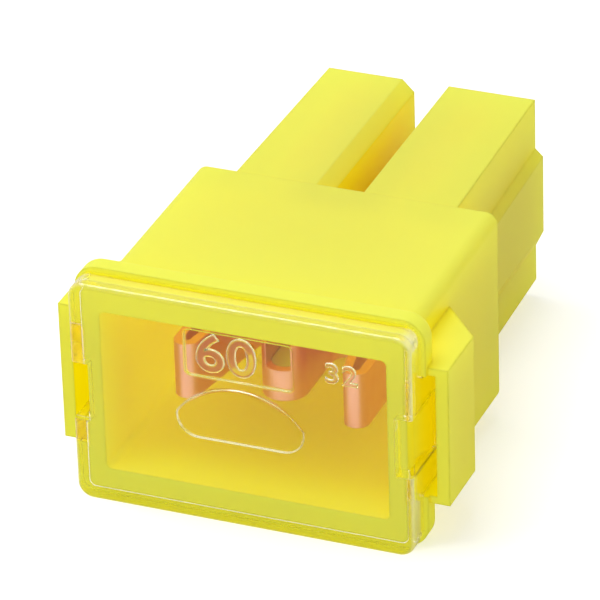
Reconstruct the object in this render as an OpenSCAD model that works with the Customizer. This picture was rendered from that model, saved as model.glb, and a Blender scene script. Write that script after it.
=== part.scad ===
// Push-in fusible link, lying on its broad side.
// +X is across the face, +Y runs from the clear face to the leg tips, +Z is up.
// Each piece is drawn with the clear face on Y = 0 and its middle height on Z = 0,
// and then moved so that the origin is the bottom centre of the whole part.

/* [Housing body] */
// Width of the moulded body
body_w = 16.0; // [14.5:0.1:18]
// Height of the moulded body
body_h = 10.6; // [10.2:0.1:13]
// From the clear face to the shoulder that the legs grow from
shoulder_y = 14.3; // [13.5:0.1:17]
// Radius of the long edges of the body
body_edge_r = 0.6; // [0.2:0.1:1]
// Thickness of the side walls of the cavity
side_wall = 0.6; // [0.5:0.05:0.8]
// Thickness of the top and bottom walls of the cavity
top_wall = 0.9; // [0.7:0.05:1.2]
// Thickness of the wall between the cavity and the shoulder
rear_wall = 1.7; // [1:0.1:2.2]
// Radius of the inside corners of the cavity
cavity_corner_r = 0.3; // [0.1:0.1:0.6]

/* [Flange] */
// How far the flange stands out past each side of the body
flange_side = 1.05; // [0.9:0.05:1.5]
// How far the flange stands out above and below the body
flange_lip = 0.95; // [0.8:0.05:1.5]
// Thickness of the flange
flange_t = 1.25; // [1:0.05:1.6]
// Radius of the four corners of the flange
flange_corner_r = 1.2; // [0.9:0.1:1.8]
// Radius of the edge round the back of the flange
flange_edge_r = 0.45; // [0.2:0.05:0.7]

/* [Clear cover] */
// How far the cover sits inside the edge of the flange
cover_inset = 0.22; // [0.1:0.02:0.4]
// Thickness of the clear plate
plate_t = 0.8; // [0.6:0.05:1]
// Depth of the skirt behind the plate
skirt_depth = 0.6; // [0.4:0.05:0.9]
// Thickness of the skirt
skirt_t = 0.46; // [0.35:0.02:0.6]
// Radius of the four corners of the cover
cover_corner_r = 0.8; // [0.6:0.05:1]
// Radius of the edge round the front of the cover
cover_edge_r = 0.2; // [0.1:0.02:0.3]
// Clearance between the skirt and the rim that it fits round
rim_gap = 0.04; // [0.02:0.01:0.1]

/* [Cover markings] */
// Width of the sunk panel for the numerals
panel_w = 5.6; // [4:0.1:7]
// Height of the sunk panel for the numerals
panel_h = 2.5; // [1.5:0.1:2.8]
// Height of the middle of that panel above the middle of the face
panel_z = 3.3; // [3:0.1:3.6]
// Depth of the sunk panel
panel_sink = 0.14; // [0.05:0.01:0.25]
// Length of the eye shaped recess in the inner face of the plate
lens_w = 6.6; // [5:0.1:7]
// Rise of its upper arc above its ends
lens_up = 1.7; // [1:0.05:1.8]
// Drop of its flat foot below its ends
lens_down = 1.3; // [1.15:0.05:1.5]
// Radius of the two corners of its foot
lens_foot_r = 1.1; // [0.6:0.05:1.1]
// Sideways place of the recess
lens_x = -0.2; // [-0.4:0.05:0.4]
// Height of its ends, from the middle of the face
lens_z = -0.35; // [-1.5:0.05:-0.3]
// Depth of the recess
lens_sink = 0.2; // [0.05:0.01:0.3]

/* [Latches] */
// Height of each latch block
block_h = 7.5; // [7:0.1:8.5]
// How far each block stands out past the flange
block_out = 1.05; // [0.9:0.05:1.4]
// Set-back of the front of each block from the front of the flange
block_set_back = 0.2; // [0.1:0.05:0.4]
// Length of the flat outer face of each block
block_flat_l = 3.5; // [3.2:0.1:4.5]
// Length of the slope that runs each block out on the side of the body
block_slope_l = 2.4; // [1.5:0.1:3.5]
// Thickness of the outer wall of each block
block_wall = 0.65; // [0.5:0.05:0.8]
// Thickness of the wall above and below each latch pocket
block_end_wall = 0.4; // [0.3:0.05:0.6]
// Thickness of the loop that hooks into each pocket
loop_t = 0.45; // [0.35:0.02:0.5]
// Height of the opening in each loop
loop_open_h = 3.2; // [2.6:0.1:3.6]
// How far each loop reaches behind the front of the flange
loop_reach = 2.8; // [2.6:0.1:3]
// Length of the bar that closes each loop
loop_bar = 0.9; // [0.7:0.05:1.1]
// Distance that the notch over each loop is cut in from the edge of the plate
notch_in = 0.9; // [0.7:0.05:1.1]
// Clearance of each loop in its pocket
latch_gap = 0.11; // [0.06:0.01:0.16]
// How far the catch in each pocket stands into the loop
catch_out = 0.42; // [0.3:0.02:0.44]

/* [Legs] */
// Length of the legs past the shoulder
leg_l = 12.15; // [11.5:0.1:14]
// Width of each leg at the shoulder, without its rib
leg_w = 4.95; // [4.7:0.05:5.4]
// Height of each leg
leg_h = 10.5; // [10.2:0.1:11]
// Gap between the two legs
leg_gap = 1.9; // [1.5:0.1:2.4]
// How much narrower each leg is at its tip
leg_draft = 0.25; // [0.05:0.05:0.4]
// Size of the chamfer along one inner edge of each leg, the upper one at -X
leg_chamfer = 0.65; // [0.3:0.05:0.8]
// How far the guide rib on each leg stands out
rib_out = 0.42; // [0.2:0.02:0.6]
// Height of the flat crown of the rib at its root
rib_crown_h = 3.6; // [3:0.1:4.4]
// Height of the steep side of the rib
rib_steep = 0.4; // [0.3:0.05:0.6]
// Height of the gentle side of the rib
rib_gentle = 0.9; // [0.6:0.05:1.1]

/* [Blade sockets] */
// Width of the blade that each socket takes
blade_w = 6.3; // [6:0.05:6.4]
// Thickness of the blade that each socket takes
blade_t = 0.8; // [0.6:0.05:0.9]
// Clearance round the blade at the mouth of each socket
mouth_gap = 0.3; // [0.2:0.05:0.4]
// Thickness of the wall that the mouth is cut through
mouth_wall = 1.2; // [1:0.1:1.6]
// Size of the bevel round the mouth
mouth_bevel = 0.4; // [0.2:0.05:0.45]

/* [Fuse element] */
// Thickness of the copper strip
strip_t = 0.45; // [0.35:0.01:0.5]
// Height of the folded strip
strip_h = 3.0; // [2.4:0.1:3.6]
// Depth of the front of the outer bends behind the clear face
outer_bend_y = 3.75; // [3:0.05:5]
// Distance of each outer limb from the middle
outer_limb_x = 4.85; // [4.4:0.05:5.2]
// Radius of the outer bends, on the middle of the strip
outer_bend_r = 0.42; // [0.3:0.02:0.5]
// Distance of the splayed limbs from the middle, at the back
splay_limb_x = 3.1; // [2.9:0.05:3.4]
// Distance of the middle limbs from the centre line
middle_limb_x = 0.95; // [0.8:0.05:1.15]
// Depth of the front of the middle bend behind the clear face
middle_bend_y = 5.0; // [4.5:0.05:6]
// Depth where the middle limbs and the splayed limbs reach the back bends
back_bend_y = 9.2; // [8.8:0.1:9.8]
// Height that is cut away above the fusible neck
neck_cut = 1.35; // [0.8:0.05:1.6]
// Width of that cut
neck_cut_w = 1.3; // [0.8:0.05:1.5]
// Length of the wide part of each terminal
terminal_l = 9.6; // [8:0.1:10]
// Outer radius of the rolled edges of the terminals
roll_r = 1.05; // [0.9:0.05:1.15]
// Clearance of the terminals in the legs
terminal_gap = 0.05; // [0.02:0.01:0.1]
// Length of the tin slug
slug_l = 1.3; // [0.8:0.05:1.6]
// Clearance between the slug and the strip
slug_gap = 0.02; // [0.01:0.01:0.05]

/* [Hidden] */
$fn = 48;
// Extra length of a cutting shape past the face that it cuts
over = 0.5;
// Depth by which joined shapes run into each other
sunk = 0.3;
// Number of straight steps in a bend of half a turn
bend_steps = 18;

flange_w = body_w + 2 * flange_side;
flange_h = body_h + 2 * flange_lip;
flange_y = plate_t + skirt_depth;
cover_w = flange_w - 2 * cover_inset;
cover_h = flange_h - 2 * cover_inset;
rim_w = cover_w - 2 * skirt_t - 2 * rim_gap;
rim_h = cover_h - 2 * skirt_t - 2 * rim_gap;
rim_corner_r = cover_corner_r - skirt_t;
cavity_w = body_w - 2 * side_wall;
cavity_h = body_h - 2 * top_wall;
cavity_end_y = shoulder_y - rear_wall;
tip_y = shoulder_y + leg_l;

leg_in_x = leg_gap / 2;
leg_out_x = leg_in_x + leg_w;
leg_mid_x = leg_in_x + leg_w / 2;

loop_in_x = cover_w / 2 - loop_t;
pocket_in_x = loop_in_x - latch_gap;
block_out_x = flange_w / 2 + block_out;
pocket_out_x = block_out_x - block_wall;
block_y = flange_y + block_set_back;
block_flat_end_y = block_y + block_flat_l;
pocket_h = block_h - 2 * block_end_wall;
loop_h = pocket_h - 2 * latch_gap;
loop_end_y = flange_y + loop_reach;
loop_bar_y = loop_end_y - loop_bar;
pocket_end_y = loop_end_y + 2 * latch_gap;
catch_h = loop_open_h - 2 * latch_gap;
catch_end_y = loop_bar_y - latch_gap;
notch_x = cover_w / 2 - notch_in;

// Terminal section, measured across from the middle of the blade
base_in = blade_t / 2;
base_mid = base_in + strip_t / 2;
base_out = base_in + strip_t;
roll_mid_r = roll_r - strip_t / 2;
roll_x = base_mid - roll_mid_r;
roll_z = blade_w / 2;
roll_end_angle = 360 - acos((-base_mid - roll_x) / roll_mid_r);
terminal_h = 2 * (roll_z + roll_r);
terminal_end_y = tip_y - mouth_wall - terminal_gap;
terminal_y = terminal_end_y - terminal_l;
chamber_in = roll_x - roll_r - terminal_gap;
chamber_out = base_out + terminal_gap;
chamber_h = terminal_h + 2 * terminal_gap;
limb_end_x = leg_mid_x + base_mid;

// Corner points of half of the strip's route, seen from above
outer_bend_centre = [outer_limb_x - outer_bend_r, outer_bend_y + strip_t / 2 + outer_bend_r];
back_bend_r = (splay_limb_x - middle_limb_x) / 2;
back_bend_centre = [middle_limb_x + back_bend_r, back_bend_y];
middle_bend_centre = [0, middle_bend_y + strip_t / 2 + middle_limb_x];
jog_end_y = cavity_end_y;
jog_l = 1.2;

// Points along an arc, from angle a0 to angle a1
function arc(centre, r, a0, a1) =
    let (n = max(3, ceil(bend_steps * abs(a1 - a0) / 180)))
    [for (i = [0:n]) let (a = a0 + (a1 - a0) * i / n) centre + r * [cos(a), sin(a)]];

// Unit vector across the route at one of its points
function across(path, i) =
    let (
        a = path[max(i - 1, 0)],
        b = path[min(i + 1, len(path) - 1)],
        d = (b - a) / norm(b - a)
    )
    [-d[1], d[0]];

// Points of a route mirrored to the other side and run backwards
function other_side(path) = [for (i = [len(path) - 1:-1:0]) [-path[i][0], path[i][1]]];

half_route = concat(
    [[limb_end_x, terminal_y], [limb_end_x, jog_end_y]],
    [[outer_limb_x, jog_end_y - jog_l]],
    arc(outer_bend_centre, outer_bend_r, 0, -180),
    arc(back_bend_centre, back_bend_r, 0, 180),
    arc(middle_bend_centre, middle_limb_x, 0, -90)
);
route = concat(half_route, [for (i = [1:len(half_route) - 1]) other_side(half_route)[i]]);

// A flat outline in X and Z, pushed along +Y from y for a length l
module along_y(y, l) {
    translate([0, y + l, 0]) rotate([90, 0, 0]) linear_extrude(height = l) children();
}

// A flat outline in X and Y, pushed along Z and centred on Z = 0
module upright(h) {
    linear_extrude(height = h, center = true) children();
}

// The same shape on both sides of the part
module both_sides() {
    children();
    mirror([1, 0, 0]) children();
}

// Moves a piece from its drawing place to the frame of the part
module placed() {
    translate([0, -tip_y / 2, flange_h / 2]) children();
}

// A rectangle with round corners
module round_rect(w, h, r) {
    square([w - 2 * r, h], center = true);
    square([w, h - 2 * r], center = true);
    for (sx = [-1, 1], sz = [-1, 1])
        translate([sx * (w / 2 - r), sz * (h / 2 - r)]) circle(r = r);
}

// A plate whose back edge is rounded all the way round
module eased_plate(w, h, corner_r, y, t, edge_r) {
    edge_y = y + t - edge_r;
    in_w = w - 2 * edge_r;
    in_h = h - 2 * edge_r;
    in_r = corner_r - edge_r;
    along_y(y, t - edge_r) round_rect(w, h, corner_r);
    along_y(y, t) round_rect(in_w, in_h, in_r);
    for (s = [-1, 1]) {
        translate([0, edge_y, s * in_h / 2])
            rotate([0, 90, 0]) cylinder(r = edge_r, h = in_w - 2 * in_r, center = true);
        translate([s * in_w / 2, edge_y, 0])
            cylinder(r = edge_r, h = in_h - 2 * in_r, center = true);
        for (sz = [-1, 1])
            translate([s * (in_w / 2 - in_r), edge_y, sz * (in_h / 2 - in_r)])
                rotate([90, 0, 0]) rotate_extrude() translate([in_r, 0])
                    intersection() {
                        circle(r = edge_r);
                        translate([0, -edge_r]) square([edge_r, 2 * edge_r]);
                    }
    }
}

// The leg on the +X side, with its draft, its guide rib and its chamfered lower inner edge
module leg() {
    half_h = leg_h / 2;
    crown_z = rib_crown_h / 2;
    root_y = shoulder_y - sunk;
    run = leg_l + sunk;
    intersection() {
        along_y(root_y, run) polygon([
            [leg_in_x, half_h],
            [leg_out_x, half_h],
            [leg_out_x, -half_h],
            [leg_in_x + leg_chamfer, -half_h],
            [leg_in_x, leg_chamfer - half_h]
        ]);
        upright(leg_h + over) drafted_plan(leg_out_x, root_y);
    }
    intersection() {
        along_y(root_y, run) polygon([
            [leg_out_x - rib_out, crown_z + 2 * rib_steep],
            [leg_out_x + rib_out, crown_z],
            [leg_out_x + rib_out, -crown_z],
            [leg_out_x - rib_out, -crown_z - 2 * rib_gentle]
        ]);
        upright(leg_h + over) drafted_plan(leg_out_x + rib_out, root_y);
    }
}

// Plan of a leg whose outer side closes in towards the tip
module drafted_plan(out_x, root_y) {
    polygon([
        [leg_in_x - over, root_y],
        [out_x, root_y],
        [out_x - leg_draft, tip_y],
        [leg_in_x - over, tip_y]
    ]);
}

// Room for one terminal, open to the cavity, and the bevelled mouth at the tip
module socket() {
    mouth_t = blade_t + 2 * mouth_gap;
    mouth_w = blade_w + 2 * mouth_gap;
    run = terminal_end_y + terminal_gap - cavity_end_y;
    translate([leg_mid_x + chamber_in, cavity_end_y - sunk, -chamber_h / 2])
        cube([chamber_out - chamber_in, run + sunk, chamber_h]);
    translate([leg_mid_x - mouth_t / 2, tip_y - mouth_wall - sunk, -mouth_w / 2])
        cube([mouth_t, mouth_wall + sunk + over, mouth_w]);
    translate([leg_mid_x, tip_y, 0]) mouth_funnel(mouth_t, mouth_w);
}

// Bevel that leads a blade into the mouth, flared both across it and along it
module mouth_funnel(mouth_t, mouth_w) {
    flare = 4 * mouth_bevel;
    intersection() {
        upright(mouth_w + flare) bevel_outline(mouth_t);
        rotate([0, 90, 0]) upright(mouth_t + flare) bevel_outline(mouth_w);
    }
}

// Outline of the bevel in one direction, open past the tip
module bevel_outline(w) {
    polygon([
        [-w / 2, -mouth_bevel],
        [w / 2, -mouth_bevel],
        [w / 2 + 2 * mouth_bevel, mouth_bevel],
        [-w / 2 - 2 * mouth_bevel, mouth_bevel]
    ]);
}

// Latch block on one side, with its sloping run-out
module latch_block() {
    root_x = body_w / 2 - sunk;
    slope = block_slope_l / (block_out_x - body_w / 2);
    upright(block_h) polygon([
        [root_x, block_y],
        [block_out_x, block_y],
        [block_out_x, block_flat_end_y],
        [root_x, block_flat_end_y + slope * (block_out_x - root_x)]
    ]);
}

// Pocket that the loop of the cover drops into, with its catch left standing
module latch_pocket() {
    difference() {
        translate([pocket_in_x, 0, -pocket_h / 2])
            cube([pocket_out_x - pocket_in_x, pocket_end_y, pocket_h]);
        upright(catch_h) polygon([
            [pocket_in_x - sunk, block_y],
            [pocket_in_x, block_y],
            [pocket_in_x + catch_out, catch_end_y - catch_out],
            [pocket_in_x + catch_out, catch_end_y],
            [pocket_in_x - sunk, catch_end_y]
        ]);
    }
}

// Moulded housing: body, flange, rim, legs, latch blocks and everything cut out of them
module housing() {
    color("gold") placed() difference() {
        union() {
            along_y(flange_y + sunk, shoulder_y - flange_y - sunk) round_rect(body_w, body_h, body_edge_r);
            eased_plate(flange_w, flange_h, flange_corner_r, flange_y, flange_t, flange_edge_r);
            along_y(plate_t, skirt_depth + sunk) round_rect(rim_w, rim_h, rim_corner_r);
            both_sides() latch_block();
            for (turn = [0, 180]) rotate([0, turn, 0]) leg();
        }
        along_y(plate_t - over, cavity_end_y - plate_t + over)
            round_rect(cavity_w, cavity_h, cavity_corner_r);
        both_sides() latch_pocket();
        both_sides() socket();
    }
}

// Eye shaped outline: one wide arc above, and a flat foot with round corners below
module lens_outline() {
    half = lens_w / 2;
    up_r = (half * half + lens_up * lens_up) / (2 * lens_up);
    intersection() {
        translate([0, lens_up - up_r]) circle(r = up_r, $fn = 96);
        translate([0, lens_up]) round_rect(lens_w, 2 * (lens_up + lens_down), lens_foot_r);
    }
}

// Loop that hooks over the catch on one side
module latch_loop() {
    difference() {
        translate([loop_in_x, plate_t - sunk, -loop_h / 2])
            cube([loop_t, loop_end_y - plate_t + sunk, loop_h]);
        translate([loop_in_x - over, 0, -loop_open_h / 2])
            cube([loop_t + 2 * over, loop_bar_y, loop_open_h]);
    }
}

// Notch in the edge of the plate in front of each loop
module plate_notch() {
    translate([notch_x, -over, -loop_open_h / 2])
        cube([notch_in + over, flange_y + over, loop_open_h]);
}

// Clear cover: plate, skirt and the two loops
module cover() {
    color("honeydew", 0.4) placed() {
        difference() {
            mirror([0, 1, 0])
                eased_plate(cover_w, cover_h, cover_corner_r, -flange_y, flange_y, cover_edge_r);
            along_y(plate_t, flange_y)
                round_rect(cover_w - 2 * skirt_t, cover_h - 2 * skirt_t, rim_corner_r);
            along_y(-over, over + panel_sink) translate([0, panel_z])
                round_rect(panel_w, panel_h, cavity_corner_r);
            along_y(plate_t - lens_sink, lens_sink + over)
                translate([lens_x, lens_z]) lens_outline();
            both_sides() plate_notch();
        }
        both_sides() latch_loop();
    }
}

// Plan outline of a strip that follows a route
module strip_plan(path, t) {
    left = [for (i = [0:len(path) - 1]) path[i] + across(path, i) * t / 2];
    right = [for (i = [len(path) - 1:-1:0]) path[i] - across(path, i) * t / 2];
    polygon(concat(left, right));
}

// Rolled terminal section: flat base and two edges rolled in against the blade
module terminal_section() {
    translate([base_in, -roll_z]) square([strip_t, 2 * roll_z]);
    for (s = [-1, 1])
        translate([roll_x, s * roll_z]) scale([1, s]) rolled_edge();
}

// One rolled edge, from the base round to where it meets the blade
module rolled_edge() {
    reach = 2 * roll_r;
    difference() {
        circle(r = roll_r);
        circle(r = roll_r - strip_t);
        polygon([
            [0, 0],
            reach * [1, 0],
            reach * [1, -1],
            reach * [0, -1],
            reach * [cos(roll_end_angle), sin(roll_end_angle)]
        ]);
    }
}

// Terminal on one side, with the neck that widens from the strip
module terminal() {
    translate([leg_mid_x, 0, 0]) {
        along_y(terminal_y, terminal_l) terminal_section();
        translate([base_in, 0, 0]) rotate([0, 90, 0]) linear_extrude(height = strip_t) polygon([
            [-strip_h / 2, jog_end_y],
            [strip_h / 2, jog_end_y],
            [roll_z, terminal_y],
            [roll_z, terminal_y + sunk],
            [-roll_z, terminal_y + sunk],
            [-roll_z, terminal_y]
        ]);
    }
}

// Copper element: folded strip with its fusible neck, and the two terminals
module fuse_element() {
    color("peru") placed() {
        difference() {
            upright(strip_h) strip_plan(route, strip_t);
            translate([-neck_cut_w / 2, middle_bend_y - over, strip_h / 2 - neck_cut])
                cube([neck_cut_w, strip_t + 2 * over, neck_cut + over]);
        }
        both_sides() terminal();
    }
}

// Tin slug held inside the middle bend, level with what is left of the neck
module tin_slug() {
    r = middle_limb_x - strip_t / 2 - slug_gap;
    color("silver") placed() translate([0, 0, -neck_cut / 2]) upright(strip_h - neck_cut) {
        translate(middle_bend_centre) circle(r = r);
        translate([-r, middle_bend_centre[1]]) square([2 * r, slug_l]);
    }
}

housing();
cover();
fuse_element();
tin_slug();
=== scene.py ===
"""A push-in fusible link on a pale table: yellow housing, clear cover, folded copper strip."""

import logging
from dataclasses import dataclass, field
from enum import Enum

import bpy
from mathutils import Matrix, Vector


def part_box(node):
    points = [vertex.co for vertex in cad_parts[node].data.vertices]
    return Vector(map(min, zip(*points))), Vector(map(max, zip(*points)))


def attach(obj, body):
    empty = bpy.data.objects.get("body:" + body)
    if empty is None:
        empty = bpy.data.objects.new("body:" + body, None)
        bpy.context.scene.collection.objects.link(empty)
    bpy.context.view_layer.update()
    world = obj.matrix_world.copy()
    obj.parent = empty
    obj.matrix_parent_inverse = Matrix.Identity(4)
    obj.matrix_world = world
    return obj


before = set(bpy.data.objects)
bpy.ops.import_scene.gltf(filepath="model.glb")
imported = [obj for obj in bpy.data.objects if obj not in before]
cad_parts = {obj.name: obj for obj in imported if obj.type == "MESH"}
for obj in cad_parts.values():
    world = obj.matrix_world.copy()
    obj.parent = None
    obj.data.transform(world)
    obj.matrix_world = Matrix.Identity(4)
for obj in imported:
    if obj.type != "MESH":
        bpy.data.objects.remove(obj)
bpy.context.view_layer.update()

LOG = logging.getLogger("fusible_link")
MM = 0.001

# Socket numbers of the Mix node when it mixes colours
MIX_FACTOR, MIX_FIRST, MIX_SECOND, MIX_RESULT = 0, 6, 7, 2
# Rays that the edge easing and the painted bounce mask, an occlusion mask, send out per point
EDGE_SAMPLES = 4
PAINTED_BOUNCE_SAMPLES = 6

Colour = tuple[float, float, float]


class Node(Enum):
    """The pieces that come from the solid model."""

    HOUSING = "housing"
    COVER = "cover"
    ELEMENT = "fuse_element"
    SLUG = "tin_slug"


class Slot(Enum):
    """The material slots that the record names."""

    HOUSING = "housing"
    COVER = "cover"
    COPPER = "copper"
    TIN = "tin"


class RaySwitch(Enum):
    """The kinds of ray that a material may tell apart."""

    CAMERA = "Is Camera Ray"
    SHADOW = "Is Shadow Ray"
    DIFFUSE = "Is Diffuse Ray"
    GLOSSY = "Is Glossy Ray"
    TRANSMISSION = "Is Transmission Ray"


def rgba(colour: Colour) -> tuple[float, float, float, float]:
    """A colour with full alpha, as shader sockets take it."""
    return (*colour, 1.0)


class Graph:
    """A small helper for laying out one node tree.

    Args:
        tree: The node tree that the nodes go into.
    """

    def __init__(self, tree: bpy.types.NodeTree) -> None:
        """Keeps the tree."""
        self.tree = tree

    def add(self, kind: str, **settings: object) -> bpy.types.Node:
        """Adds a node and sets its plain properties.

        Args:
            kind: The node's Blender type name.
            **settings: Properties to set on the node.

        Returns:
            The new node.
        """
        node = self.tree.nodes.new(kind)
        for name, value in settings.items():
            setattr(node, name, value)
        return node

    def link(self, source: bpy.types.NodeSocket, target: bpy.types.NodeSocket) -> None:
        """Joins an output socket to an input socket."""
        self.tree.links.new(source, target)

    def feed(self, socket: bpy.types.NodeSocket, value: object) -> None:
        """Links a socket to an input, or sets a colour or a plain number on it."""
        if isinstance(value, bpy.types.NodeSocket):
            self.link(value, socket)
        else:
            socket.default_value = rgba(value) if isinstance(value, tuple) else value

    def math(self, operation: str, first: object, second: object = 0.0) -> bpy.types.NodeSocket:
        """Adds a Math node fed by sockets or plain numbers.

        Args:
            operation: The name of the Math operation.
            first: A socket or a number.
            second: A socket or a number.

        Returns:
            The node's output socket.
        """
        node = self.add("ShaderNodeMath", operation=operation)
        self.feed(node.inputs[0], first)
        self.feed(node.inputs[1], second)
        return node.outputs[0]

    def place(self) -> bpy.types.NodeSocket:
        """The place on the object, which does not depend on the camera."""
        return self.add("ShaderNodeTexCoord").outputs["Object"]

    def noise(
        self, place: bpy.types.NodeSocket, scale: object, detail: float
    ) -> bpy.types.NodeSocket:
        """Adds a noise texture.

        Args:
            place: The socket that says where on the object.
            scale: Its scale, a number or a socket.
            detail: Its number of finer layers.

        Returns:
            The socket with the noise value.
        """
        node = self.add("ShaderNodeTexNoise")
        self.link(place, node.inputs["Vector"])
        self.feed(node.inputs["Scale"], scale)
        node.inputs["Detail"].default_value = detail
        return node.outputs[0]

    def mix_colour(self, share: object, first: object, second: object) -> bpy.types.NodeSocket:
        """Adds a colour mix.

        Args:
            share: How much of the second colour, a number or a socket.
            first: A colour or a socket.
            second: A colour or a socket.

        Returns:
            The socket with the mixed colour.
        """
        node = self.add("ShaderNodeMix", data_type="RGBA")
        self.feed(node.inputs[MIX_FACTOR], share)
        self.feed(node.inputs[MIX_FIRST], first)
        self.feed(node.inputs[MIX_SECOND], second)
        return node.outputs[MIX_RESULT]

    def eased(self, radius: object) -> bpy.types.NodeSocket:
        """The normal with its edges rounded by a radius, a number or a socket."""
        node = self.add("ShaderNodeBevel", samples=EDGE_SAMPLES)
        self.feed(node.inputs["Radius"], radius)
        return node.outputs[0]

    def bumped(self, height: object, depth: object, normal: object) -> bpy.types.NodeSocket:
        """Adds a bump over a normal.

        Args:
            height: The socket with the height.
            depth: How deep a height of one is, a number of metres or a socket.
            normal: The socket with the normal underneath.

        Returns:
            The socket with the bumped normal.
        """
        node = self.add("ShaderNodeBump")
        self.link(height, node.inputs["Height"])
        self.feed(node.inputs["Distance"], depth)
        self.link(normal, node.inputs["Normal"])
        return node.outputs[0]


def new_group(
    name: str, inputs: dict[str, object], outputs: dict[str, str]
) -> tuple[Graph, bpy.types.Node, bpy.types.Node]:
    """Starts a shader node group with named sockets.

    Args:
        name: The group's name.
        inputs: Input names with their default values: a number or a colour.
        outputs: Output names with their socket types.

    Returns:
        The graph of the group, its input node and its output node.
    """
    tree = bpy.data.node_groups.new(name, "ShaderNodeTree")
    for label, value in inputs.items():
        kind = "NodeSocketColor" if isinstance(value, tuple) else "NodeSocketFloat"
        socket = tree.interface.new_socket(label, in_out="INPUT", socket_type=kind)
        socket.default_value = rgba(value) if isinstance(value, tuple) else value
    for label, kind in outputs.items():
        tree.interface.new_socket(label, in_out="OUTPUT", socket_type=kind)
    graph = Graph(tree)
    return graph, graph.add("NodeGroupInput"), graph.add("NodeGroupOutput")


def moulded_surface_group() -> bpy.types.NodeTree:
    """Group for moulded plastic: painted bounce light as a deeper colour in hollows, mottling,
    grain and eased edges.

    Returns:
        The node group, with outputs Colour, Painted Bounce (the mottling and the painted bounce
        light together), Roughness and Normal.
    """
    cloud_scale, cloud_detail, grain_detail = 260.0, 3.0, 2.0
    inputs = {
        "Colour": (0.8, 0.8, 0.8),
        # Painted bounce light: the deeper colour for hollows, with its strength and reach below.
        "Painted Bounce Colour": (0.6, 0.6, 0.6),
        "Mottle": 0.2,
        "Painted Bounce": 1.2,
        "Painted Bounce Reach": 0.005,
        "Roughness": 0.35,
        "Roughness Spread": 0.1,
        "Grain Scale": 4000.0,
        "Grain Depth": 0.000004,
        "Edge Radius": 0.0001,
    }
    outputs = {
        "Colour": "NodeSocketColor",
        "Painted Bounce": "NodeSocketFloat",
        "Roughness": "NodeSocketFloat",
        "Normal": "NodeSocketVector",
    }
    graph, source, sink = new_group("Moulded surface", inputs, outputs)
    given, wanted = source.outputs, sink.inputs
    place = graph.place()
    cloud = graph.noise(place, cloud_scale, cloud_detail)
    grain = graph.noise(place, given["Grain Scale"], grain_detail)
    # Painted bounce light: hollows found by this occlusion mask take the deeper colour.
    painted_bounce = graph.add("ShaderNodeAmbientOcclusion", samples=PAINTED_BOUNCE_SAMPLES, only_local=True)
    graph.link(given["Painted Bounce Reach"], painted_bounce.inputs["Distance"])
    painted_bounce_mask = graph.math("SUBTRACT", 1.0, painted_bounce.outputs["AO"])
    painted_bounce_mask = graph.math("MULTIPLY", painted_bounce_mask, given["Painted Bounce"])
    mottled = graph.math("MULTIPLY", cloud, given["Mottle"])
    # The mix share holds the random mottling and the painted bounce light together.
    depth = graph.math("MINIMUM", graph.math("ADD", painted_bounce_mask, mottled), 1.0)
    spread = graph.math("MULTIPLY", grain, given["Roughness Spread"])
    normal = graph.bumped(grain, given["Grain Depth"], graph.eased(given["Edge Radius"]))
    graph.link(depth, wanted["Painted Bounce"])
    graph.link(graph.mix_colour(depth, given["Colour"], given["Painted Bounce Colour"]), wanted["Colour"])
    graph.link(graph.math("ADD", spread, given["Roughness"]), wanted["Roughness"])
    graph.link(normal, wanted["Normal"])
    return graph.tree


def rolled_metal_group() -> bpy.types.NodeTree:
    """Group for rolled sheet metal: fine lines along the roll, stains and eased edges.

    Returns:
        The node group, with outputs Colour, Roughness and Normal.
    """
    line_stretch, line_detail = (900.0, 900.0, 14000.0), 3.0
    stain_scale, stain_detail, stain_roughness = 700.0, 4.0, 0.2
    inputs = {
        "Colour": (0.8, 0.5, 0.35),
        "Stain Colour": (0.5, 0.25, 0.15),
        "Stain": 0.4,
        "Roughness": 0.3,
        "Line Depth": 0.000003,
        "Edge Radius": 0.00008,
    }
    outputs = {
        "Colour": "NodeSocketColor",
        "Roughness": "NodeSocketFloat",
        "Normal": "NodeSocketVector",
    }
    graph, source, sink = new_group("Rolled metal", inputs, outputs)
    given, wanted = source.outputs, sink.inputs
    place = graph.place()
    stretched = graph.add("ShaderNodeMapping")
    stretched.inputs["Scale"].default_value = line_stretch
    graph.link(place, stretched.inputs["Vector"])
    lines = graph.noise(stretched.outputs[0], 1.0, line_detail)
    stain = graph.noise(place, stain_scale, stain_detail)
    share = graph.math("MULTIPLY", stain, given["Stain"])
    spread = graph.math("MULTIPLY", stain, stain_roughness)
    normal = graph.bumped(lines, given["Line Depth"], graph.eased(given["Edge Radius"]))
    graph.link(graph.mix_colour(share, given["Colour"], given["Stain Colour"]), wanted["Colour"])
    graph.link(graph.math("ADD", spread, given["Roughness"]), wanted["Roughness"])
    graph.link(normal, wanted["Normal"])
    return graph.tree


class EffectLibrary:
    """Builds each shared node group once and hands it out."""

    def __init__(self) -> None:
        """Builds the groups."""
        self.moulded = moulded_surface_group()
        self.rolled = rolled_metal_group()


def blank_material(name: str) -> tuple[bpy.types.Material, Graph, bpy.types.Node]:
    """A new material with one Principled shader.

    Args:
        name: The material's name.

    Returns:
        The material, its graph and its Principled node.
    """
    material = bpy.data.materials.new(name)
    material.use_nodes = True
    shader = material.node_tree.nodes["Principled BSDF"]
    return material, Graph(material.node_tree), shader


def finish_surface(material: bpy.types.Material, graph: Graph, shader: bpy.types.Node) -> None:
    """Links a shader to the material's output."""
    graph.link(shader.outputs[0], material.node_tree.nodes["Material Output"].inputs["Surface"])


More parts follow.
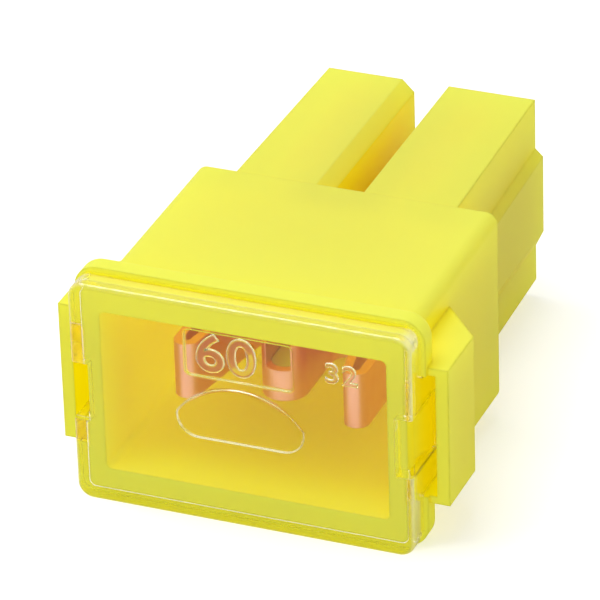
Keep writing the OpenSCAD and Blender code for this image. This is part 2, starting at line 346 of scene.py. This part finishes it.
def place_group(
    graph: Graph, shader: bpy.types.Node, tree: bpy.types.NodeTree, values: dict[str, object]
) -> bpy.types.Node:
    """Puts a shared group in front of a Principled shader.

    Args:
        graph: The material's graph.
        shader: The Principled node.
        tree: The shared group.
        values: The group's own input values.

    Returns:
        The node that holds the group.
    """
    group = graph.add("ShaderNodeGroup", node_tree=tree)
    for label, value in values.items():
        graph.feed(group.inputs[label], value)
    graph.link(group.outputs["Colour"], shader.inputs["Base Color"])
    graph.link(group.outputs["Roughness"], shader.inputs["Roughness"])
    graph.link(group.outputs["Normal"], shader.inputs["Normal"])
    return group


@dataclass(frozen=True)
class YellowPlastic:
    """Moulded yellow plastic whose thin walls pass light on.

    Hollows take the deeper colours, which are painted bounce light: a deeper orange that stands in
    for light bounced inside the hollows and soaked through the pigment.
    """

    colour: Colour = (0.78, 0.99, 0.19)
    # Painted bounce light: the deeper colours that hollows take, with the strength and reach of the
    # occlusion mask.
    painted_bounce_colour: Colour = (1.0, 0.92, 0.008)
    passed: Colour = (0.97, 1.0, 0.12)
    painted_bounce_passed: Colour = (1.0, 0.94, 0.02)
    share_passed: float = 0.5
    mottle: float = 0.12
    painted_bounce: float = 1.3
    painted_bounce_reach: float = 15.0 * MM
    roughness: float = 0.34
    roughness_spread: float = 0.08
    grain_scale: float = 5200.0
    grain_depth: float = 0.0015 * MM
    shine: float = 0.25
    edge_radius: float = 0.2 * MM

    def build(self, effects: EffectLibrary) -> bpy.types.Material:
        """Makes the material from the shared moulded surface.

        Args:
            effects: The shared node groups.

        Returns:
            The material.
        """
        material, graph, shader = blank_material("yellow_plastic")
        values = {
            "Colour": self.colour,
            "Painted Bounce Colour": self.painted_bounce_colour,
            "Mottle": self.mottle,
            "Painted Bounce": self.painted_bounce,
            "Painted Bounce Reach": self.painted_bounce_reach,
            "Roughness": self.roughness,
            "Roughness Spread": self.roughness_spread,
            "Grain Scale": self.grain_scale,
            "Grain Depth": self.grain_depth,
            "Edge Radius": self.edge_radius,
        }
        group = place_group(graph, shader, effects.moulded, values)
        shader.inputs["Specular IOR Level"].default_value = self.shine
        # The colour that the walls pass on also takes the painted bounce light in hollows.
        tone = graph.mix_colour(group.outputs["Painted Bounce"], self.passed, self.painted_bounce_passed)
        through = graph.add("ShaderNodeBsdfTranslucent")
        graph.link(tone, through.inputs["Color"])
        graph.link(group.outputs["Normal"], through.inputs["Normal"])
        both = graph.add("ShaderNodeMixShader")
        both.inputs[0].default_value = self.share_passed
        graph.link(shader.outputs[0], both.inputs[1])
        graph.link(through.outputs[0], both.inputs[2])
        finish_surface(material, graph, both)
        return material


@dataclass(frozen=True)
class ClearPlastic:
    """Clear glossy moulded plastic whose edges and short sides gleam."""

    tint: Colour = (0.99, 0.98, 0.95)
    shade: Colour = (0.98, 0.98, 0.96)
    roughness: float = 0.05
    bend: float = 1.5
    shine: Colour = (0.42, 0.42, 0.38)
    edge_radius: float = 0.15 * MM
    ripple_scale: float = 500.0
    ripple_detail: float = 2.0
    ripple_depth: float = 0.002 * MM
    haze: float = 0.3
    haze_reach: float = 0.3 * MM
    edge_gleam: float = 4.5
    side_gleam: float = 1.0
    gleam_bend: float = 3.0
    gleam_roughness: float = 0.2
    sparkle_scale: float = 2200.0
    sparkle_detail: float = 2.0
    sparkle_contrast: float = 1.6
    low_side_dulling: float = 0.9

    def build(self) -> bpy.types.Material:
        """Makes the glass, with a clear way through it for lamp rays and scattered light.

        Returns:
            The material.
        """
        material, graph, shader = blank_material("clear_plastic")
        shader.inputs["Base Color"].default_value = rgba(self.tint)
        shader.inputs["IOR"].default_value = self.bend
        shader.inputs["Specular Tint"].default_value = rgba(self.shine)
        shader.inputs["Transmission Weight"].default_value = 1.0
        shader.inputs["Coat IOR"].default_value = self.gleam_bend
        shader.inputs["Coat Roughness"].default_value = self.gleam_roughness
        ripple = graph.noise(graph.place(), self.ripple_scale, self.ripple_detail)
        normal = graph.bumped(ripple, self.ripple_depth, graph.eased(self.edge_radius))
        graph.link(self._haze(graph), shader.inputs["Roughness"])
        graph.link(self._gleam(graph), shader.inputs["Coat Weight"])
        graph.link(normal, shader.inputs["Normal"])
        clear = graph.add("ShaderNodeBsdfTransparent")
        clear.inputs["Color"].default_value = rgba(self.shade)
        path = graph.add("ShaderNodeLightPath").outputs
        free = graph.math("MAXIMUM", path[RaySwitch.SHADOW.value], path[RaySwitch.DIFFUSE.value])
        both = graph.add("ShaderNodeMixShader")
        graph.link(free, both.inputs[0])
        graph.link(shader.outputs[0], both.inputs[1])
        graph.link(clear.outputs[0], both.inputs[2])
        finish_surface(material, graph, both)
        return material

    def _haze(self, graph: Graph) -> bpy.types.NodeSocket:
        """Roughness that rises towards the moulded edges."""
        meet = graph.add("ShaderNodeVectorMath", operation="DOT_PRODUCT")
        graph.link(graph.eased(self.haze_reach), meet.inputs[0])
        graph.link(graph.add("ShaderNodeNewGeometry").outputs["Normal"], meet.inputs[1])
        turned = graph.math("SUBTRACT", 1.0, graph.math("ABSOLUTE", meet.outputs["Value"]))
        return graph.math("ADD", graph.math("MULTIPLY", turned, self.haze), self.roughness)

    def _gleam(self, graph: Graph) -> bpy.types.NodeSocket:
        """A mask of the rounded edges, unevenly bright, and of the two short sides.

        The flat faces of the cover lie square to the axes, so a face that leans is an edge.
        Edges that point down and are seen from inside the plastic gleam less. That changes
        the numerals slightly, and hardly changes the line round the recess.

        Args:
            graph: The material's graph.

        Returns:
            The socket with the mask, from 0 to 1.
        """
        surface = graph.add("ShaderNodeNewGeometry").outputs
        size = graph.add("ShaderNodeVectorMath", operation="ABSOLUTE")
        graph.link(surface["Normal"], size.inputs[0])
        signed = graph.add("ShaderNodeSeparateXYZ")
        graph.link(surface["Normal"], signed.inputs[0])
        low_side = graph.math("LESS_THAN", signed.outputs[2], 0.0)
        inner_low_side = graph.math("MULTIPLY", surface["Backfacing"], low_side)
        dull = graph.math("MULTIPLY", inner_low_side, self.low_side_dulling)
        parts = graph.add("ShaderNodeSeparateXYZ")
        graph.link(size.outputs[0], parts.inputs[0])
        x, y, z = parts.outputs
        most = graph.math("MAXIMUM", graph.math("MAXIMUM", x, y), z)
        leaning = graph.math("MULTIPLY", graph.math("SUBTRACT", 1.0, most), self.edge_gleam)
        sparkle = graph.noise(graph.place(), self.sparkle_scale, self.sparkle_detail)
        uneven = graph.math("POWER", sparkle, self.sparkle_contrast)
        edges = graph.math("MULTIPLY", leaning, uneven)
        edges = graph.math("MULTIPLY", edges, graph.math("SUBTRACT", 1.0, dull))
        both = graph.math("ADD", edges, graph.math("MULTIPLY", x, self.side_gleam))
        return graph.math("MINIMUM", both, 1.0)


@dataclass(frozen=True)
class SheetMetal:
    """Bare rolled metal, such as the copper strip or the tin slug."""

    name: str
    colour: Colour
    stain_colour: Colour
    stain: float
    roughness: float
    line_depth: float = 0.002 * MM
    edge_radius: float = 0.06 * MM

    def build(self, effects: EffectLibrary) -> bpy.types.Material:
        """Makes the material from the shared rolled metal surface.

        Args:
            effects: The shared node groups.

        Returns:
            The material.
        """
        material, graph, shader = blank_material(self.name)
        values = {
            "Colour": self.colour,
            "Stain Colour": self.stain_colour,
            "Stain": self.stain,
            "Roughness": self.roughness,
            "Line Depth": self.line_depth,
            "Edge Radius": self.edge_radius,
        }
        place_group(graph, shader, effects.rolled, values)
        shader.inputs["Metallic"].default_value = 1.0
        return material


COPPER = SheetMetal("bare_copper", (0.90, 0.50, 0.35), (0.78, 0.35, 0.20), 0.6, 0.34)
TIN = SheetMetal("dull_tin", (0.72, 0.71, 0.68), (0.45, 0.44, 0.42), 0.6, 0.4)


def dress(node: Node, material: bpy.types.Material) -> None:
    """Gives a solid from the model its finish.

    Args:
        node: Which solid.
        material: Its finish.
    """
    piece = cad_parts[node.value]
    piece.data.materials.clear()
    piece.data.materials.append(material)
    LOG.info("%s dressed in %s", node.value, material.name)


@dataclass
class Numerals:
    """One group of raised plain numerals on the clear cover.

    Places are metres from the middle of the cover's face, and depths metres from that face.
    The stroke sizes are shares of the font's own size.
    """

    name: str
    digits: str
    height: float
    centre_x: float
    centre_z: float
    near_depth: float
    far_depth: float
    spread: float = 1.0
    widen: float = 1.1
    stroke_extrude: float = 0.004
    stroke_bevel: float = 0.034
    bevel_steps: int = 4
    curve_steps: int = 8

    def build(self, material: bpy.types.Material) -> bpy.types.Object:
        """Makes the numerals as one mesh that rides with the cover.

        Args:
            material: The finish of the cover.

        Returns:
            The mesh object.
        """
        curve = bpy.data.curves.new(self.name, "FONT")
        curve.body = self.digits
        curve.align_x = "CENTER"
        curve.align_y = "CENTER"
        curve.size = 1.0
        curve.space_character = self.spread
        curve.extrude = self.stroke_extrude
        curve.bevel_depth = self.stroke_bevel
        curve.bevel_resolution = self.bevel_steps
        curve.resolution_u = self.curve_steps
        text = bpy.data.objects.new(self.name + "_curve", curve)
        bpy.context.scene.collection.objects.link(text)
        bpy.context.view_layer.update()
        mesh = bpy.data.meshes.new_from_object(text)
        mesh.name = self.name
        bpy.data.objects.remove(text)
        self._fit(mesh)
        piece = bpy.data.objects.new(self.name, mesh)
        bpy.context.scene.collection.objects.link(piece)
        mesh.materials.clear()
        mesh.materials.append(material)
        for face in mesh.polygons:
            face.use_smooth = True
        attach(piece, "root")
        LOG.info("%s built with %d faces", self.name, len(mesh.polygons))
        return piece

    def _fit(self, mesh: bpy.types.Mesh) -> None:
        """Scales, turns and moves the flat text mesh to its place on the cover.

        Args:
            mesh: The mesh, which is changed in place.
        """
        low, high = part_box(Node.COVER.value)
        points = [vertex.co.copy() for vertex in mesh.vertices]
        least = Vector([min(p[i] for p in points) for i in range(3)])
        most = Vector([max(p[i] for p in points) for i in range(3)])
        middle = (least + most) / 2
        scale = self.height / (most.y - least.y)
        thick = (self.far_depth - self.near_depth) / (most.z - least.z)
        centre_x = (low.x + high.x) / 2 + self.centre_x
        centre_z = (low.z + high.z) / 2 + self.centre_z
        centre = Vector((centre_x, low.y, centre_z))
        depth = (self.near_depth + self.far_depth) / 2
        for vertex in mesh.vertices:
            off = vertex.co - middle
            across = off.x * scale * self.widen
            vertex.co = centre + Vector((across, depth - off.z * thick, off.y * scale))


LARGE_NUMERALS = Numerals(
    name="large_numerals",
    digits="60",
    height=2.2 * MM,
    centre_x=-0.66 * MM,
    centre_z=3.42 * MM,
    near_depth=0.01 * MM,
    far_depth=0.17 * MM,
    spread=1.05,
)
SMALL_NUMERALS = Numerals(
    name="small_numerals",
    digits="32",
    height=1.15 * MM,
    centre_x=5.1 * MM,
    centre_z=3.2 * MM,
    near_depth=0.77 * MM,
    far_depth=0.9 * MM,
    spread=1.1,
)


@dataclass
class Studio:
    """Pale floor, one soft lamp and the camera of the photograph.

    All lengths are metres, except the lens and the sensor, which are millimetres.
    """

    aim: Vector = field(default_factory=lambda: Vector((0.0, 0.0, 0.00625)))
    lens: float = 325.88
    sensor: float = 36.0
    camera_place: Vector = field(default_factory=lambda: Vector((0.088983, -0.218968, 0.139710)))
    camera_forward: Vector = field(default_factory=lambda: Vector((-0.334521, 0.803291, -0.492766)))
    camera_right: Vector = field(default_factory=lambda: Vector((0.928743, 0.369677, -0.027854)))
    near_clip: float = 0.01
    far_clip: float = 10.0
    floor_half: float = 0.6
    floor_colour: Colour = (0.76, 0.76, 0.76)
    floor_roughness: float = 0.8
    floor_lift: float = 0.46
    clear_lift: float = 0.5
    sky: float = 0.465
    key_place: Vector = field(default_factory=lambda: Vector((-0.08, -0.03, 0.31)))
    key_size: float = 0.22
    key_power: float = 0.66
    all_bounces: int = 40
    diffuse_bounces: int = 16
    clear_bounces: int = 32

    def camera(self) -> bpy.types.Object:
        """Makes the camera from the place and direction fitted to the photograph."""
        data = bpy.data.cameras.new("camera")
        data.lens = self.lens
        data.sensor_width = self.sensor
        data.clip_start = self.near_clip
        data.clip_end = self.far_clip
        forward = self.camera_forward.normalized()
        right = self.camera_right.normalized()
        up = right.cross(forward).normalized()
        turn = Matrix((right, up, -forward)).transposed()
        camera = bpy.data.objects.new("camera", data)
        camera.matrix_world = Matrix.Translation(self.camera_place) @ turn.to_4x4()
        bpy.context.scene.collection.objects.link(camera)
        bpy.context.scene.camera = camera
        return camera

    def floor(self) -> bpy.types.Object:
        """Makes the pale floor, which stays white to the camera outside the shadow."""
        mesh = bpy.data.meshes.new("floor")
        h = self.floor_half
        corners = [(-h, -h, 0.0), (h, -h, 0.0), (h, h, 0.0), (-h, h, 0.0)]
        mesh.from_pydata(corners, [], [(0, 1, 2, 3)])
        piece = bpy.data.objects.new("floor", mesh)
        bpy.context.scene.collection.objects.link(piece)
        material, graph, shader = blank_material("pale_floor")
        shader.inputs["Base Color"].default_value = rgba(self.floor_colour)
        shader.inputs["Roughness"].default_value = self.floor_roughness
        path = graph.add("ShaderNodeLightPath").outputs
        glow = graph.add("ShaderNodeEmission")
        lift = graph.math("MULTIPLY", path[RaySwitch.CAMERA.value], self.floor_lift)
        clear = graph.math("MULTIPLY", path[RaySwitch.TRANSMISSION.value], self.clear_lift)
        graph.link(graph.math("ADD", lift, clear), glow.inputs["Strength"])
        both = graph.add("ShaderNodeAddShader")
        graph.link(shader.outputs[0], both.inputs[0])
        graph.link(glow.outputs[0], both.inputs[1])
        finish_surface(material, graph, both)
        mesh.materials.append(material)
        return piece

    def world(self) -> None:
        """Sets a plain pale sky, white where the camera, gloss or glass looks at it."""
        world = bpy.data.worlds.new("sky")
        bpy.context.scene.world = world
        world.use_nodes = True
        graph = Graph(world.node_tree)
        back = world.node_tree.nodes["Background"]
        back.inputs["Color"].default_value = rgba((1.0, 1.0, 1.0))
        path = graph.add("ShaderNodeLightPath").outputs
        seen = graph.math("MAXIMUM", path[RaySwitch.CAMERA.value], path[RaySwitch.GLOSSY.value])
        seen = graph.math("MAXIMUM", seen, path[RaySwitch.TRANSMISSION.value])
        lift = graph.math("MULTIPLY", seen, 1.0 - self.sky)
        graph.link(graph.math("ADD", lift, self.sky), back.inputs["Strength"])

    def lamp(self) -> bpy.types.Object:
        """Adds the soft square lamp, facing the part."""
        data = bpy.data.lights.new("key_lamp", "AREA")
        data.size = self.key_size
        data.energy = self.key_power
        lamp = bpy.data.objects.new("key_lamp", data)
        lamp.location = self.key_place
        lamp.rotation_euler = (self.aim - self.key_place).to_track_quat("-Z", "Y").to_euler()
        bpy.context.scene.collection.objects.link(lamp)
        return lamp

    def bounces(self) -> None:
        """Lets light bounce often, because the cavity is lit mostly by bounced light."""
        cycles = bpy.context.scene.cycles
        cycles.max_bounces = self.all_bounces
        cycles.diffuse_bounces = self.diffuse_bounces
        cycles.glossy_bounces = self.clear_bounces
        cycles.transmission_bounces = self.clear_bounces

    def build(self) -> None:
        """Builds the whole set."""
        bpy.context.scene.view_settings.view_transform = "Standard"
        self.bounces()
        self.camera()
        self.floor()
        self.world()
        self.lamp()


def main() -> None:
    """Builds the set, dresses the solids and adds the numerals."""
    logging.basicConfig(level=logging.INFO)
    effects = EffectLibrary()
    Studio().build()
    clear = ClearPlastic().build()
    dress(Node.HOUSING, YellowPlastic().build(effects))
    dress(Node.COVER, clear)
    dress(Node.ELEMENT, COPPER.build(effects))
    dress(Node.SLUG, TIN.build(effects))
    LARGE_NUMERALS.build(clear)
    SMALL_NUMERALS.build(clear)


if __name__ == "__main__":
    main()
